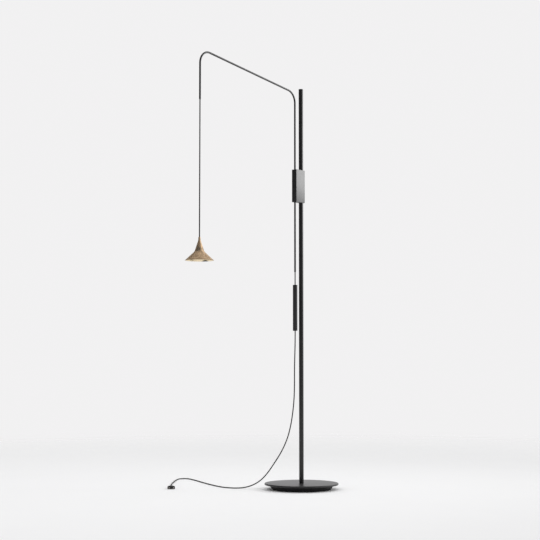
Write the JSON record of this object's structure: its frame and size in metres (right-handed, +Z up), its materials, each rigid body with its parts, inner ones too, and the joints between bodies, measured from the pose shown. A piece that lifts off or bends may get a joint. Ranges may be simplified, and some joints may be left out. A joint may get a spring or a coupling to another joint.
{
  "type": "floor lamp",
  "caption": "Slim floor lamp: round weighted base, pole, sliding clamp block, bent swing arm and a brass bell head hanging from a cord, with an in-line driver.",
  "frame": {"origin": "centre of the base's underside, on the floor under the pole's axis", "axes": "+Z up along the pole, -X along the arm towards the head at rest"},
  "size_m": [0.9, 0.9085, 1.8302],
  "materials": {
    "black_steel": "fine matt black powder coat",
    "black_aluminium": "matt black coat on aluminium",
    "cast_ballast": "black paint on casting",
    "pad_rubber": "matt",
    "plated_steel": "zinc plated",
    "black_nylon": "moulded",
    "cord_jacket": "matt black cord jacket",
    "circuit_board": "solder mask",
    "button_plastic": "moulded",
    "aged_brass": "cast, aged and brushed",
    "bare_aluminium": "machined",
    "lens_glass": "frosted",
    "plug_plastic": "moulded",
    "pin_metal": "nickel plated"
  },
  "bodies": {
    "stand": {"base_cover": "black_steel", "base_ballast": "cast_ballast", "floor_pad": "pad_rubber", "pole": "black_steel", "pole_foot": "plated_steel", "pole_bolt": "plated_steel", "bolt_washer": "plated_steel", "cover_screws": "plated_steel", "pole_cap": "black_steel"},
    "clamp": {"clamp_block": "black_aluminium", "pole_bush_lower": "black_nylon", "pole_bush_upper": "black_nylon", "tube_bush_lower": "black_nylon", "tube_bush_upper": "black_nylon", "pole_pad": "black_nylon", "friction_spring": "plated_steel", "tube_pad": "black_nylon", "bore_plug": "black_aluminium", "mains_cord_drop": "cord_jacket", "mains_cord_floor": "cord_jacket", "plug_relief": "plug_plastic", "plug_body": "plug_plastic", "plug_pins": "pin_metal"},
    "lift": {"tube_ferrule": "black_nylon", "driver_lead": "cord_jacket", "driver_housing": "black_aluminium", "driver_top_cap": "black_aluminium", "driver_bottom_cap": "black_aluminium", "lead_gland": "black_nylon", "mains_gland": "black_nylon", "mains_tail": "cord_jacket", "driver_board": "circuit_board", "driver_components": "circuit_board", "tact_switch": "circuit_board"},
    "button": {"switch_button": "button_plastic"},
    "arm": {"arm_tube": "black_steel", "arm_cord": "cord_jacket", "tip_bush": "black_nylon"},
    "pendant": {"pendant_cord": "cord_jacket"},
    "head": {"shade": "aged_brass", "cord_grip": "black_nylon", "head_lead": "cord_jacket", "heat_sink": "bare_aluminium", "led_board": "circuit_board", "lens": "lens_glass", "retaining_ring": "black_nylon"}
  },
  "joints": [
    {"name": "block_swivel", "type": "hinge", "parent": "stand", "child": "clamp", "pos_m": [0, 0, 1.3355], "axis": [0, 0, 1], "range_deg": [-170, 170]},
    {"name": "arm_lift", "type": "slide", "parent": "clamp", "child": "lift", "axis": [0, 0, 1], "range_m": [-0.28, 0.28], "deforming": ["mains_cord_drop"]},
    {"name": "arm_swing", "type": "hinge", "parent": "lift", "child": "arm", "pos_m": [-0.044, 0, 1.3355], "axis": [0, 0, 1], "range_deg": [-150, 150]},
    {"name": "pendant_swing", "type": "hinge", "parent": "arm", "child": "pendant", "pos_m": [-0.679, 0, 1.6218], "axis": [0, 1, 0], "range_deg": [-35, 35]},
    {"name": "head_tilt", "type": "hinge", "parent": "pendant", "child": "head", "pos_m": [-0.679, 0, 1.0644], "axis": [1, 0, 0], "range_deg": [-20, 20]},
    {"name": "switch_press", "type": "slide", "parent": "lift", "child": "button", "axis": [0, -1, 0], "range_m": [0, 0.0008], "stiffness_N_per_m": 1500}
  ]
}
